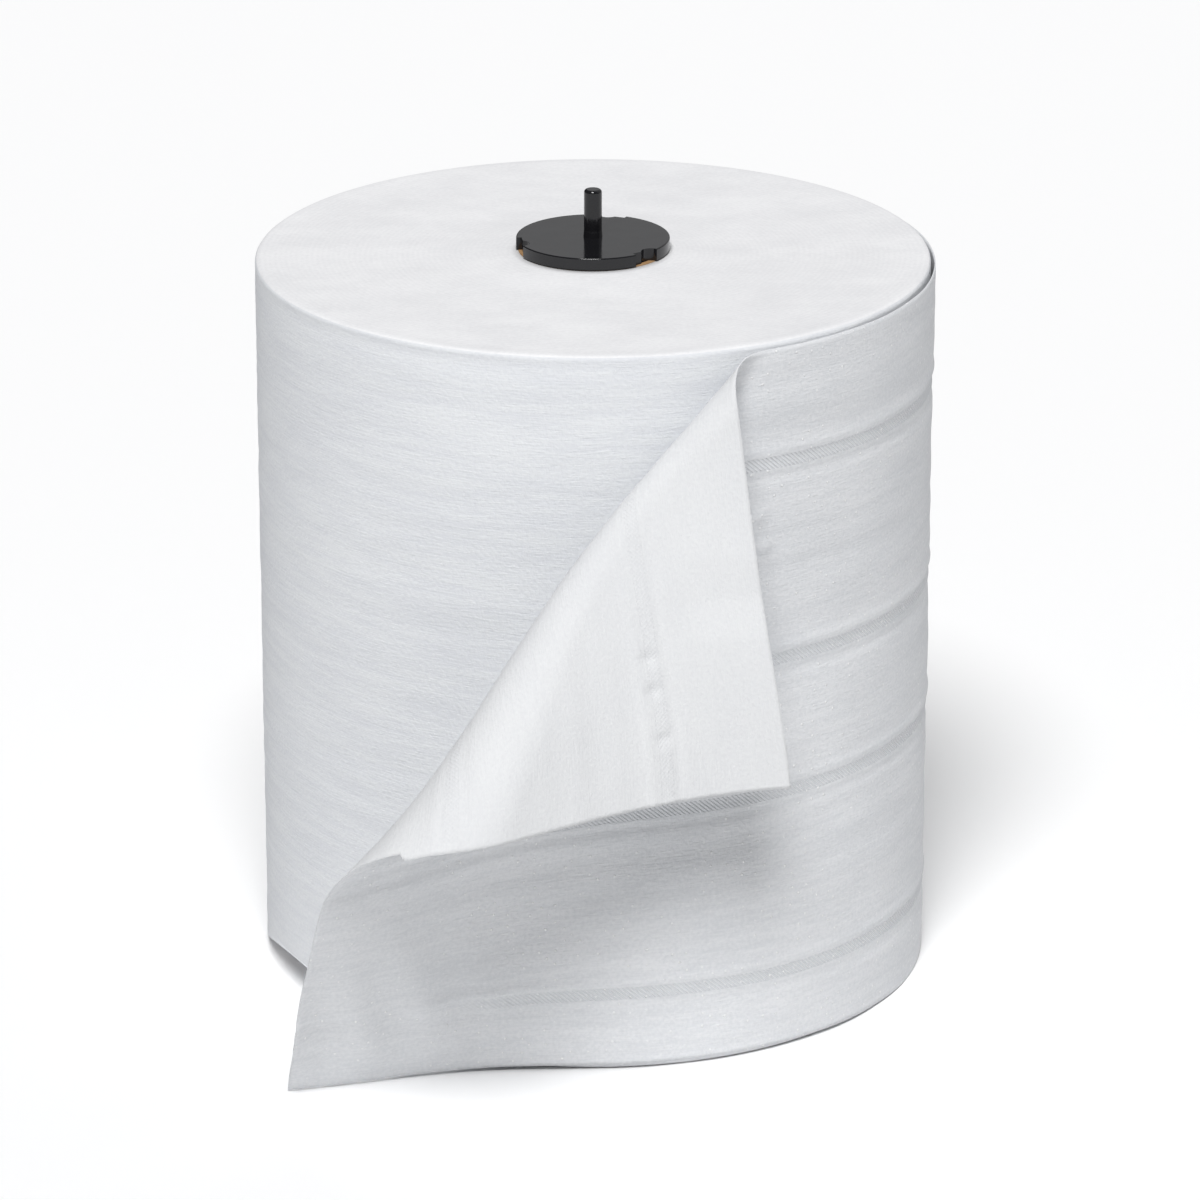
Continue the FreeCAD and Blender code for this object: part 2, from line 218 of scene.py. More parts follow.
# %% Dots and specks
def embossed_dots(tree, place, clouds):
    """One on the small dots between the plies, which are pressed harder in some places."""
    eighth_turn = math.pi / 4
    spaced = {"Vector": place, "Rotation": (0, 0, eighth_turn), "Scale": (1 / DOT_SPACING,) * 3}
    lattice_at = add_node(tree, "ShaderNodeMapping", spaced)
    cells = {"Vector": lattice_at.outputs[0], "Scale": 1.0, "Randomness": DOT_SCATTER}
    lattice = add_node(tree, "ShaderNodeTexVoronoi", cells)
    fall = {
        "Value": lattice.outputs["Distance"],
        "From Min": DOT_RADIUS / DOT_SPACING * DOT_EDGE_OUTER,
        "From Max": DOT_RADIUS / DOT_SPACING * DOT_EDGE_INNER,
    }
    dot = add_node(tree, "ShaderNodeMapRange", fall, interpolation_type="SMOOTHSTEP")
    press = {"Value": clouds, "From Min": DOT_PRESS_FAINT, "From Max": DOT_PRESS_WHOLE}
    pressed = add_node(tree, "ShaderNodeMapRange", press, interpolation_type="SMOOTHSTEP")
    both = {0: dot.outputs[0], 1: pressed.outputs[0]}
    return add_node(tree, "ShaderNodeMath", both, operation="MULTIPLY").outputs[0]


def dust_specks(tree, place):
    """How much grey the few pinhead specks in the pulp bring, zero between them."""
    apart = {"Vector": place, "Scale": (1 / SPECK_SPACING,) * 3}
    speck_at = add_node(tree, "ShaderNodeMapping", apart)
    specks = add_node(tree, "ShaderNodeTexVoronoi", {"Vector": speck_at.outputs[0], "Scale": 1.0})
    fade = {
        "Value": specks.outputs["Distance"],
        "From Max": SPECK_RADIUS / SPECK_SPACING,
        "To Min": SPECK_STRENGTH,
        "To Max": 0.0,
    }
    return add_node(tree, "ShaderNodeMapRange", fade).outputs[0]


# %% What both tissue materials share
def stretched_noises(tree, place, patterns):
    """The noises by name, each stretched to its own length and width."""
    noises = {}
    for kind, (length, width, detail) in patterns.items():
        sized = {"Vector": place, "Scale": (1 / length, 1 / width, 1 / width)}
        at = add_node(tree, "ShaderNodeMapping", sized).outputs[0]
        grain = {"Vector": at, "Scale": 1.0, "Detail": detail}
        noises[kind] = add_node(tree, "ShaderNodeTexNoise", grain).outputs[0]
    return noises


def lay_on_paper(tree, shader, colour, height):
    """The pattern's colour and its relief in millimetres on a shader as matt as paper."""
    bump = add_node(tree, "ShaderNodeBump", {"Height": height, "Distance": MM, "Strength": 1.0})
    tree.links.new(colour, shader.inputs["Base Color"])
    tree.links.new(bump.outputs[0], shader.inputs["Normal"])
    shader.inputs["Roughness"].default_value = 0.95
    shader.inputs["Specular IOR Level"].default_value = 0.2


# %% Tissue face
def tissue_face(name, paper, shade, slants, dots, streaks, bands, worn):
    """Creped tissue. Slants are the directions of the bands' grooves on this face of the web,
    and dots, streaks and bands are how strongly this face shows them."""
    material, tree, shader = new_material(name)
    place = add_node(tree, "ShaderNodeUVMap", uv_map="web").outputs[0]
    pattern = stretched_noises(tree, place, FACE_PATTERNS)
    dot = embossed_dots(tree, place, pattern["clouds"])
    groove = knurled_bands(tree, place, slants, worn)

    tone = 0.0
    for part, weight in (
        (pattern["streaks"], streaks),
        (pattern["crepe"], CREPE_TONE),
        (pattern["clouds"], CLOUDS_TONE),
        (pattern["fibres"], FIBRES_TONE),
        # The grooves' weight darkens the colour: painted shade in the grooves
        (groove, GROOVES_PAINTED_SHADE * bands),
    ):
        summed = {0: part, 1: weight, 2: tone}
        tone = add_node(tree, "ShaderNodeMath", summed, operation="MULTIPLY_ADD").outputs[0]
    middle = (streaks + CREPE_TONE + CLOUDS_TONE + FIBRES_TONE) / 2
    low, high = middle - TONE_HALF_SPAN, middle + TONE_HALF_SPAN
    spread = {"Value": tone, "From Min": low, "From Max": high}
    share = add_node(tree, "ShaderNodeMapRange", spread, interpolation_type="SMOOTHSTEP")
    mixed = {"Factor": share.outputs[0], 6: linear(shade), 7: linear(paper)}
    colour = add_node(tree, "ShaderNodeMix", mixed, data_type="RGBA")
    strength = add_node(tree, "ShaderNodeMath", {0: dot, 1: dots}, operation="MULTIPLY")
    bright = {"Factor": strength.outputs[0], 6: colour.outputs[2], 7: linear("fbfbfb")}
    dotted = add_node(tree, "ShaderNodeMix", bright, data_type="RGBA")
    dusty = {"Factor": dust_specks(tree, place), 6: dotted.outputs[2], 7: linear("8a8a86")}
    dusted = add_node(tree, "ShaderNodeMix", dusty, data_type="RGBA")

    height = 0.0
    for part, weight in (
        (pattern["crepe"], CREPE_RELIEF),
        (pattern["fibres"], FIBRES_RELIEF),
        (pattern["streaks"], STREAKS_RELIEF * streaks),
        (dot, DOTS_RELIEF * dots),
        (groove, GROOVES_RELIEF * bands),
    ):
        raised = {0: part, 1: weight, 2: height}
        height = add_node(tree, "ShaderNodeMath", raised, operation="MULTIPLY_ADD").outputs[0]
    lay_on_paper(tree, shader, dusted.outputs[2], height)
    return material


# %% The tissue's three faces
# Painted shade: darker colours than the wound turns', the same face of the same paper
tissue_outside = tissue_face(
    "creped_tissue_outside",
    paper="e3e4e6",
    shade="d4d6d9",
    slants=[-BAND_SLANT],
    dots=0.8,
    streaks=0.3,
    bands=1.0,
    worn=95 * MM,
)
tissue_inside = tissue_face(
    "creped_tissue_inside",
    paper="e0e1e2",
    shade="d9dadc",
    slants=[-BAND_SLANT, BAND_SLANT],
    dots=0.1,
    streaks=0.08,
    bands=0.45,
    worn=1 * MM,
)
tissue_wound = tissue_face(
    "creped_tissue_wound",
    paper="e5e7e9",
    shade="dcdee2",
    slants=[-BAND_SLANT],
    dots=0.15,
    streaks=0.6,
    bands=0.1,
    worn=1 * MM,
)
print("tissue faces:", tissue_outside.name, tissue_inside.name, tissue_wound.name)

# %% [markdown]
# ## Tissue seen on its cut edges
#
# The ends of the roll are thousands of cut edges. They were sawn through the whole log at once,
# so they are matt and show the turns as faint rings with a few smears where the saw dragged the
# fibres. They are painted brighter than the face: painted light, standing in for the light that
# falls on the top from above. Single turns are 0.2 mm thick, finer than a pixel, so the rings are
# drawn at about 1.5 mm, as uneven winding bunches them.

# %% Tissue ends
RING_PITCH = 1.5 * MM
RING_BEND = 1.5
END_PATTERNS = {"smears": (18 * MM, 12 * MM, 5.0), "fibres": (1.1 * MM, 1.1 * MM, 4.0)}

# What the rings, the smears and the fibres add to the tone, and the tones at which the ends
# have the colour of their shade and of their white
END_TONES = (0.07, 0.55, 0.48)
END_TONE_LOW = 0.25
END_TONE_HIGH = 0.85

# How far the rings, the smears and the fibres stand up, in millimetres
END_RELIEF = (0.006, 0.1, 0.08)


def tissue_ends(name, paper, shade):
    material, tree, shader = new_material(name)
    place = add_node(tree, "ShaderNodeTexCoord").outputs["Object"]
    wound = {
        "Vector": place,
        "Scale": WAVE_TURN / RING_PITCH,
        "Distortion": RING_BEND,
        "Detail": 2.0,
    }
    rings = add_node(
        tree, "ShaderNodeTexWave", wound, wave_type="RINGS", rings_direction="Z"
    ).outputs["Fac"]
    pattern = stretched_noises(tree, place, END_PATTERNS)
    parts = (rings, pattern["smears"], pattern["fibres"])
    tone = 0.0
    for part, weight in zip(parts, END_TONES):
        summed = {0: part, 1: weight, 2: tone}
        tone = add_node(tree, "ShaderNodeMath", summed, operation="MULTIPLY_ADD").outputs[0]
    spread = {"Value": tone, "From Min": END_TONE_LOW, "From Max": END_TONE_HIGH}
    share = add_node(tree, "ShaderNodeMapRange", spread, interpolation_type="SMOOTHSTEP")
    mixed = {"Factor": share.outputs[0], 6: linear(shade), 7: linear(paper)}
    colour = add_node(tree, "ShaderNodeMix", mixed, data_type="RGBA")
    height = 0.0
    for part, weight in zip(parts, END_RELIEF):
        raised = {0: part, 1: weight, 2: height}
        height = add_node(tree, "ShaderNodeMath", raised, operation="MULTIPLY_ADD").outputs[0]
    lay_on_paper(tree, shader, colour.outputs[2], height)
    return material


# Painted light: the ends' colours are lighter than the faces', for the light from above
tissue_end = tissue_ends("sawn_tissue_ends", paper="f0f0f1", shade="e2e2e4")
print("tissue ends:", tissue_end.name)

# %% [markdown]
# ## Core board
#
# The core is spirally wound grey-brown board. Only its upper edge shows, under the plug's
# notches, and its bore from below. It is matt, with fibres that lie along the strip.

# %% Core board
BOARD_FIBRE_LENGTH = 3.2 * MM
BOARD_FIBRE_WIDTH = 0.8 * MM
BOARD_RELIEF = 0.08 * MM


def core_board(name):
    material, tree, shader = new_material(name)
    place = add_node(tree, "ShaderNodeTexCoord").outputs["Object"]
    sized = (1 / BOARD_FIBRE_LENGTH, 1 / BOARD_FIBRE_LENGTH, 1 / BOARD_FIBRE_WIDTH)
    at = add_node(tree, "ShaderNodeMapping", {"Vector": place, "Scale": sized}).outputs[0]
    grain = {"Vector": at, "Scale": 1.0, "Detail": 6.0}
    fibres = add_node(tree, "ShaderNodeTexNoise", grain).outputs[0]
    mixed = {"Factor": fibres, 6: linear("8f6c47"), 7: linear("b8946a")}
    colour = add_node(tree, "ShaderNodeMix", mixed, data_type="RGBA")
    raised = {"Height": fibres, "Distance": BOARD_RELIEF, "Strength": 1.0}
    bump = add_node(tree, "ShaderNodeBump", raised)
    tree.links.new(colour.outputs[2], shader.inputs["Base Color"])
    tree.links.new(bump.outputs[0], shader.inputs["Normal"])
    shader.inputs["Roughness"].default_value = 0.9
    return material


core_material = core_board("spiral_core_board")
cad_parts["core_tube"].data.materials.clear()
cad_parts["core_tube"].data.materials.append(core_material)
print("core:", core_material.name)

# %% [markdown]
# ## Black moulded plastic
#
# The plug is injection-moulded black polystyrene, whose IOR is 1.59. Its mould was polished, so
# the flange mirrors the pin. The surface isn't quite flat: it sinks a little over thick places,
# which breaks the reflections up.

# %% Plug plastic
SINK_SIZE = 6 * MM
SINK_DEPTH = 0.03 * MM
GRAIN_SIZE = 0.25 * MM
# Nearly all of a noise's values lie between these
NOISE_LOW = 0.3
NOISE_HIGH = 0.7
# Roughness where the mould was polished best and where it was polished least
ROUGHNESS_BEST = 0.07
ROUGHNESS_LEAST = 0.14
POLYSTYRENE_IOR = 1.59


def moulded_black(name):
    material, tree, shader = new_material(name)
    place = add_node(tree, "ShaderNodeTexCoord").outputs["Object"]
    sized = {"Vector": place, "Scale": (1 / SINK_SIZE,) * 3}
    sunk_at = add_node(tree, "ShaderNodeMapping", sized)
    sink = {"Vector": sunk_at.outputs[0], "Scale": 1.0, "Detail": 2.0}
    sunk = add_node(tree, "ShaderNodeTexNoise", sink).outputs[0]
    grained = {"Vector": place, "Scale": (1 / GRAIN_SIZE,) * 3}
    grain_at = add_node(tree, "ShaderNodeMapping", grained)
    fine = {"Vector": grain_at.outputs[0], "Scale": 1.0, "Detail": 2.0}
    grain = add_node(tree, "ShaderNodeTexNoise", fine).outputs[0]
    polish = {
        "Value": sunk,
        "From Min": NOISE_LOW,
        "From Max": NOISE_HIGH,
        "To Min": ROUGHNESS_BEST,
        "To Max": ROUGHNESS_LEAST,
    }
    roughness = add_node(tree, "ShaderNodeMapRange", polish, interpolation_type="SMOOTHSTEP")
    mixed = {"Factor": grain, 6: linear("141416"), 7: linear("1d1d20")}
    colour = add_node(tree, "ShaderNodeMix", mixed, data_type="RGBA")
    raised = {"Height": sunk, "Distance": SINK_DEPTH, "Strength": 1.0}
    bump = add_node(tree, "ShaderNodeBump", raised)
    tree.links.new(colour.outputs[2], shader.inputs["Base Color"])
    tree.links.new(roughness.outputs[0], shader.inputs["Roughness"])
    tree.links.new(bump.outputs[0], shader.inputs["Normal"])
    shader.inputs["IOR"].default_value = POLYSTYRENE_IOR
    shader.inputs["Specular IOR Level"].default_value = 0.4
    return material


plug_material = moulded_black("moulded_black_polystyrene")
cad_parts["spindle_plug"].data.materials.clear()
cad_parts["spindle_plug"].data.materials.append(plug_material)
print("plug:", plug_material.name)

# %% [markdown]
# ## From a bmesh to a piece
#
# Each new piece is modelled in a bmesh and ends the same way: smooth shading, its materials, its
# place in the scene, and the body that it rides on.

# %% Helper for pieces
def new_piece(build, name, materials):
    """The finished bmesh as an object at the origin that rides on the roll."""
    mesh = bpy.data.meshes.new(name)
    build.to_mesh(mesh)
    build.free()
    mesh.shade_smooth()
    for material in materials:
        mesh.materials.append(material)
    piece = bpy.data.objects.new(name, mesh)
    bpy.context.scene.collection.objects.link(piece)
    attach(piece, "root")
    print("%s: %d faces" % (name, len(mesh.polygons)))
    return piece


# %% Two smooth curves
def smooth_step(value):
    """Runs from 0 to 1 with no slope at either end."""
    value = min(max(value, 0.0), 1.0)
    return value * value * (3 - 2 * value)


def hump(value, centre, half_width):
    """One at the centre, falling smoothly to zero at half_width on either side."""
    return 1 - smooth_step(abs(value - centre) / half_width)


# %% [markdown]
# ## The wound roll
#
# All the wound turns are one ring of paper. A ring could be a cylinder with a hole bored through
# it, but a profile of four corners spun round the axis gives even quads, which can be cut finer
# where the paper dips. The outer rims are bevelled, because the outermost turns bulge there.

# %% Spin the ring
ROLL_RADIUS = paper_high.y
ROLL_HEIGHT = paper_high.z
CORE_RADIUS = core_high.x
SPIN_STEPS = 320
MERGE_WITHIN = 0.001 * MM

ring = bmesh.new()
profile = [
    ring.verts.new(corner)
    for corner in (
        (CORE_RADIUS, 0, 0),
        (ROLL_RADIUS, 0, 0),
        (ROLL_RADIUS, 0, ROLL_HEIGHT),
        (CORE_RADIUS, 0, ROLL_HEIGHT),
    )
]
edges = [ring.edges.new((profile[i], profile[(i + 1) % 4])) for i in range(4)]
bmesh.ops.spin(
    ring,
    geom=profile + edges,
    cent=(0, 0, 0),
    axis=(0, 0, 1),
    angle=2 * math.pi,
    steps=SPIN_STEPS,
    use_merge=True,
)
bmesh.ops.remove_doubles(ring, verts=ring.verts, dist=MERGE_WITHIN)
bmesh.ops.recalc_face_normals(ring, faces=ring.faces)
print("ring: %d faces" % len(ring.faces))


# %% Round the rims and cut the faces finer
RIM_ROUND = 1.6 * MM
RIM_SEGMENTS = 4
SIDE_CUTS = 84
END_CUTS = 26


def reaches_out(edge):
    """Whether it is well outside the core's own edges."""
    return max(math.hypot(*v.co.xy) for v in edge.verts) > CORE_RADIUS * 2


def is_level(edge):
    return abs(edge.verts[0].co.z - edge.verts[1].co.z) < MM


def is_radial(edge):
    return abs(math.hypot(*edge.verts[0].co.xy) - math.hypot(*edge.verts[1].co.xy)) > MM


rims = [e for e in ring.edges if is_level(e) and not is_radial(e) and reaches_out(e)]
bmesh.ops.bevel(
    ring,
    geom=rims,
    offset=RIM_ROUND,
    segments=RIM_SEGMENTS,
    profile=0.5,
    affect="EDGES",
    material=-1,
)
upright = [e for e in ring.edges if e.calc_length() > ROLL_HEIGHT / 2 and reaches_out(e)]
bmesh.ops.subdivide_edges(ring, edges=upright, cuts=SIDE_CUTS, use_grid_fill=True)
spokes = [
    e for e in ring.edges if is_level(e) and is_radial(e) and e.calc_length() > CORE_RADIUS * 2
]
bmesh.ops.subdivide_edges(ring, edges=spokes, cuts=END_CUTS, use_grid_fill=True)
print("ring, cut finer: %d faces" % len(ring.faces))

# %% [markdown]
# ## Where the roll isn't perfect
#
# A flawless ring looks machined. The picture shows a shallow dip just under the top rim at the
# front left, turns that wander by a few tenths of a millimetre up the side, and a top face that
# isn't quite flat and rises a little to the core. The lower left rim has been crushed upwards.
# Each is a small move of the ring's own points, along the radius or along the axis.

# %% How far the ring's points move
DIP_BELOW_RIM = 3.0 * MM
DIP_DEPTH = 0.9 * MM
DIP_HALF_HEIGHT = 2.4 * MM
DIP_AZIMUTH = 232
DIP_HALF_SPAN = 75
SIDE_WANDER = 0.22 * MM
WANDER_HEIGHT = 5 * MM
WANDER_SPAN = 60 * MM
END_WANDER = 0.3 * MM
END_SINK = 0.6
END_PATCH = 24 * MM
CORE_RISE = 1.05 * MM
CORE_RISE_SPAN = 22 * MM
CRUSH_AZIMUTH = 207.5
CRUSH_HALF_SPAN = 28
CRUSH_LIFT = 11 * MM
CRUSH_DEPTH = 13 * MM


def side_shift(azimuth, height):
    """How far the roll's side stands off its true radius."""
    angle = math.radians(azimuth)
    turned = Vector((math.cos(angle), math.sin(angle), 0))
    at = turned * ROLL_RADIUS / WANDER_SPAN + Vector((0, 0, height / WANDER_HEIGHT))
    dip = hump(height, ROLL_HEIGHT - DIP_BELOW_RIM, DIP_HALF_HEIGHT)
    dip *= hump(azimuth, DIP_AZIMUTH, DIP_HALF_SPAN)
    return SIDE_WANDER * noise.noise(at) - DIP_DEPTH * dip


def crushed_floor(azimuth, radius):
    """The lowest that the paper reaches where the lower rim was crushed."""
    if abs(azimuth - CRUSH_AZIMUTH) > CRUSH_HALF_SPAN:
        return 0.0
    lift = CRUSH_LIFT * math.cos(math.pi / 2 * (azimuth - CRUSH_AZIMUTH) / CRUSH_HALF_SPAN)
    return lift * min(max((radius - (ROLL_RADIUS - CRUSH_DEPTH)) / CRUSH_DEPTH, 0), 1)


# %% Shape the ring
for vert in ring.verts:
    radius = math.hypot(vert.co.x, vert.co.y)
    azimuth = math.degrees(math.atan2(vert.co.y, vert.co.x)) % 360
    edge_share = smooth_step((radius - (ROLL_RADIUS - 2 * RIM_ROUND)) / RIM_ROUND)
    if edge_share > 0:
        grown = 1 + edge_share * side_shift(azimuth, vert.co.z) / radius
        vert.co.x *= grown
        vert.co.y *= grown
    if vert.co.z > ROLL_HEIGHT - RIM_ROUND and radius > CORE_RADIUS + MM:
        sunk = noise.noise(Vector((vert.co.x, vert.co.y, 0)) / END_PATCH) - END_SINK
        vert.co.z += END_WANDER * sunk * (1 - edge_share)
    if vert.co.z > ROLL_HEIGHT / 2:
        vert.co.z += CORE_RISE * (1 - smooth_step((radius - CORE_RADIUS) / CORE_RISE_SPAN))
    vert.co.z = max(vert.co.z, crushed_floor(azimuth, radius))
print("highest point of the ring: %.1f mm" % (max(v.co.z for v in ring.verts) / MM))


# %% Give the ring its UV map and its end faces
END_SLOT = 1
END_FLATNESS = 0.8
END_MARGIN = 0.3 * MM


def is_end_face(face):
    """Whether it lies flat enough on an end, and not on the round of the rim."""
    radius = face.calc_center_median().to_2d().length
    return abs(face.normal.z) > END_FLATNESS and radius < ROLL_RADIUS - END_MARGIN


def lay_out_ring(build):
    """UVs in metres: round the roll and up it. Faces at the roll's ends take the end material."""
    layer = build.loops.layers.uv.new("web")
    build.normal_update()
    for face in build.faces:
        face.material_index = END_SLOT if is_end_face(face) else 0
        middle = math.atan2(*face.calc_center_median().yx)
        for loop in face.loops:
            angle = math.atan2(loop.vert.co.y, loop.vert.co.x)
            angle = middle + math.remainder(angle - middle, 2 * math.pi)
            loop[layer].uv = (angle * ROLL_RADIUS, loop.vert.co.z)


lay_out_ring(ring)
wound_roll = new_piece(ring, "wound_roll", [tissue_wound, tissue_end])
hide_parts("paper_roll")

# %% [markdown]
# ## The loose web
#
# The last turn and its hanging end are one sheet of paper. It could be simulated as cloth, but
# paper doesn't stretch, and its place is known: the solid model gives where it leaves the roll,
# how it bows and where it folds. So a flat grid is rolled into place by the same rules, with the
# distance along the web and the height up it kept true, and the small relief is added along the
# paper's own normal.

# %% Sizes of the loose web, as in the solid model
WEB_FOOT_GAP = 0.3 * MM
WEB_FOOT_LIFT = 1.4 * MM
TURN_SLACK_TOP = 1.1 * MM
TURN_SLACK_FOOT = 0.8 * MM
TURN_START_ANGLE = math.radians(35)
TURN_START_DEPTH = 1.0 * MM
TURN_START_RUN = 16 * MM
LEAVE_ANGLE_TOP = math.radians(-58.3)
LEAVE_ANGLE_FOOT = math.radians(-81.3)
LEAVE_ANGLE_BULGE = math.radians(12)
FREE_LENGTH = 100.7 * MM
BOW_TOP = 15.6 * MM
BOW_FOOT = 4.4 * MM
FOLD_ALONG_TOP = 137.2 * MM
FOLD_DOWN_END = 144.6 * MM
FOLD_TURN = math.radians(159.5)
FOLD_RADII = [10.0 * MM, 6.7 * MM, 13.9 * MM, 24.7 * MM]
DIRECTION_SPAN = 0.5 * MM
# The share of its width by which the web's shape carries on past its edges
PAST_EDGE = 0.2

fold_start = Vector((FOLD_ALONG_TOP, WEB_WIDTH))
fold_end = Vector((0, WEB_WIDTH - FOLD_DOWN_END))
fold_line = (fold_end - fold_start).normalized()
to_corner = Vector((fold_line.y, -fold_line.x))


def turn_radius(share):
    """Radius of the loose turn, by the share of the web's width above its lower edge."""
    return ROLL_RADIUS + TURN_SLACK_FOOT + (TURN_SLACK_TOP - TURN_SLACK_FOOT) * share


def leave_angle(share):
    """Where round the axis the web leaves the roll."""
    bulge = LEAVE_ANGLE_BULGE * 4 * share * (1 - share)
    return LEAVE_ANGLE_FOOT + (LEAVE_ANGLE_TOP - LEAVE_ANGLE_FOOT) * share + bulge


def hanging_length(share):
    """Length from the cut end to where the web leaves the roll."""
    return FREE_LENGTH + turn_radius(share) * (leave_angle(share) - LEAVE_ANGLE_FOOT)


def full_length(share):
    """Length from the cut end to where the loose turn joins the wound turns."""
    return hanging_length(share) + turn_radius(share) * (TURN_START_ANGLE - leave_angle(share))


print("web: %.0f mm wide, %.0f mm long" % (WEB_WIDTH / MM, full_length(0.5) / MM))


# %% Where a point of the web lies
def flat_corner_point(along, up):
    """Where the place lies while the corner isn't folded."""
    share = min(max(up / WEB_WIDTH, -PAST_EDGE), 1 + PAST_EDGE)
    radius = turn_radius(share)
    hanging = hanging_length(share)
    angle = leave_angle(share)
    free = hanging - along
    if free >= 0:
        bow = BOW_FOOT + (BOW_TOP - BOW_FOOT) * share
        radius -= bow * math.sin(math.pi * min(free / hanging, 1)) ** 2
        x = radius * math.cos(angle) + free * math.sin(angle)
        y = radius * math.sin(angle) - free * math.cos(angle)
    else:
        angle -= free / radius
        rise = smooth_step(radius * (TURN_START_ANGLE - angle) / TURN_START_RUN)
        start_radius = ROLL_RADIUS - TURN_START_DEPTH
        radius = start_radius + (radius - start_radius) * rise
        x = radius * math.cos(angle)
        y = radius * math.sin(angle)
    lift = WEB_FOOT_LIFT * (1 - share) * math.cos(math.pi / 2 * min(max(free / hanging, -1), 1))
    return Vector((x, y, up + WEB_FOOT_GAP + lift))


def fold_radius(distance):
    """Radius of the fold, a cubic through its values at the top, each third and the end."""
    thirds = 3 * min(max(distance / (fold_end - fold_start).length, 0), 1)
    radius = FOLD_RADII[0] * (1 - thirds) * (2 - thirds) * (3 - thirds) / 6
    radius += FOLD_RADII[1] * thirds * (2 - thirds) * (3 - thirds) / 2
    radius += FOLD_RADII[2] * thirds * (thirds - 1) * (3 - thirds) / 2
    return radius + FOLD_RADII[3] * thirds * (thirds - 1) * (thirds - 2) / 6


def web_point(along, up):
    """Where the place lies with the corner folded down."""
    offset = Vector((along, up)) - fold_start
    past_fold = offset.dot(to_corner)
    if past_fold <= 0:
        return flat_corner_point(along, up)
    distance = offset.dot(fold_line)
    foot = fold_start + fold_line * distance
    nearer = flat_corner_point(foot.x - DIRECTION_SPAN, foot.y)
    to_end = (nearer - flat_corner_point(foot.x + DIRECTION_SPAN, foot.y)).normalized()
    higher = flat_corner_point(foot.x, foot.y + DIRECTION_SPAN)
    to_top = higher - flat_corner_point(foot.x, foot.y - DIRECTION_SPAN)
    outward = to_top.cross(to_end).normalized()
    across_fold = to_end * -to_corner.x + to_end.cross(outward) * to_corner.y
    radius = fold_radius(distance)
    turned = min(past_fold / radius, FOLD_TURN)
    beyond = max(past_fold - FOLD_TURN * radius, 0)
    along_sheet = radius * math.sin(turned) + beyond * math.cos(FOLD_TURN)
    off_sheet = radius * (1 - math.cos(turned)) + beyond * math.sin(FOLD_TURN)
    return flat_corner_point(foot.x, foot.y) + across_fold * along_sheet + outward * off_sheet


# %% [markdown]
# ## Relief of the paper
#
# The bands pull the paper in, so a soft ridge stands above each and a soft valley runs below it.
# Wound paper also ripples along the web, and the hanging end has slow leaning waves that die out
# at its lower edge. The folded corner has an old fold mark across it, and the paper puckers
# beside the bands. Most of it is a few tenths of a millimetre, with nearly one in the mark and
# the puckers and up to two in the waves. The ridges and ripples are held back where the paper
# rolls over the fold, because a tight bend keeps paper smooth.

# %% Sizes of the relief
RIDGE_ABOVE = 3.2 * MM
VALLEY_BELOW = 4.2 * MM
RIDGE_HALF_WIDTH = 2.0 * MM
RIDGE_HEIGHT = 0.45 * MM
BAND_SINK = 0.15 * MM
RIPPLE_HEIGHT = 0.3 * MM
RIPPLE_LENGTH = 130 * MM
RIPPLE_WIDTH = 7 * MM
RIPPLE_SEED = 3.7
PATCH_HEIGHT = 0.25 * MM
PATCH_SIZE = 18 * MM
PATCH_SEED = 11.3
WAVE_HEIGHT = 1.9 * MM
WAVE_LENGTH = 21 * MM
WAVE_LEAN = 0.35
WAVES_FADE = 85 * MM
EDGE_CALM = 22 * MM
TURN_END_FADE = 20 * MM
CROWN_PAST_FOLD = 14 * MM
CROWN_CALM_SPAN = 24 * MM
CROWN_CALM = 0.75
MARK_ALONG = 60 * MM
MARK_FROM_UP = 180 * MM
MARK_SPREAD = 12 * MM
MARK_HEIGHT = 0.9 * MM
# Along the web and up it, in millimetres
PUCKERS = [(44, 174), (34, 174), (19, 175), (133, 160), (135, 151)]
PUCKER_SIZE = 3.4 * MM
PUCKER_HEIGHT = 0.9 * MM


# %% Relief
def band_relief(up):
    """The soft ridge above each band, the valley below it and the band's own sinking."""
    relief = 0.0
    for height in BAND_HEIGHTS:
        relief += RIDGE_HEIGHT * hump(up, height + RIDGE_ABOVE, RIDGE_HALF_WIDTH)
        relief -= RIDGE_HEIGHT * hump(up, height - VALLEY_BELOW, RIDGE_HALF_WIDTH)
        relief -= BAND_SINK * hump(up, height, BAND_WIDTH)
    return relief


def creases(along, up):
    """The fold mark across the corner and the puckers beside the bands."""
    mark = max(0.0, 1 - abs(along - MARK_ALONG) / MARK_SPREAD)
    relief = MARK_HEIGHT * mark * smooth_step((up - MARK_FROM_UP) / MARK_SPREAD)
    for pucker_along, pucker_up in PUCKERS:
        away = math.hypot(along - pucker_along * MM, up - pucker_up * MM)
        relief += PUCKER_HEIGHT * hump(away, 0, PUCKER_SIZE)
    return relief


def web_relief(along, up):
    """How far the paper stands off its smooth shape, outwards."""
    relief = band_relief(up)
    ripple_at = Vector((along / RIPPLE_LENGTH, up / RIPPLE_WIDTH, RIPPLE_SEED))
    patch_at = Vector((along / PATCH_SIZE, up / PATCH_SIZE, PATCH_SEED))
    relief += RIPPLE_HEIGHT * noise.noise(ripple_at) + PATCH_HEIGHT * noise.noise(patch_at)
    past_fold = (Vector((along, up)) - fold_start).dot(to_corner)
    relief *= 1 - CROWN_CALM * hump(past_fold, CROWN_PAST_FOLD, CROWN_CALM_SPAN)
    waves = math.sin(2 * math.pi * (along + WAVE_LEAN * up) / WAVE_LENGTH)
    waves *= 1 - smooth_step(along / WAVES_FADE)
    waves *= 1 - smooth_step(up / (WEB_WIDTH - FOLD_DOWN_END))
    waves *= smooth_step(up / EDGE_CALM)
    from_turn_end = smooth_step((full_length(up / WEB_WIDTH) - along) / TURN_END_FADE)
    return (relief + creases(along, up) + WAVE_HEIGHT * waves) * from_turn_end


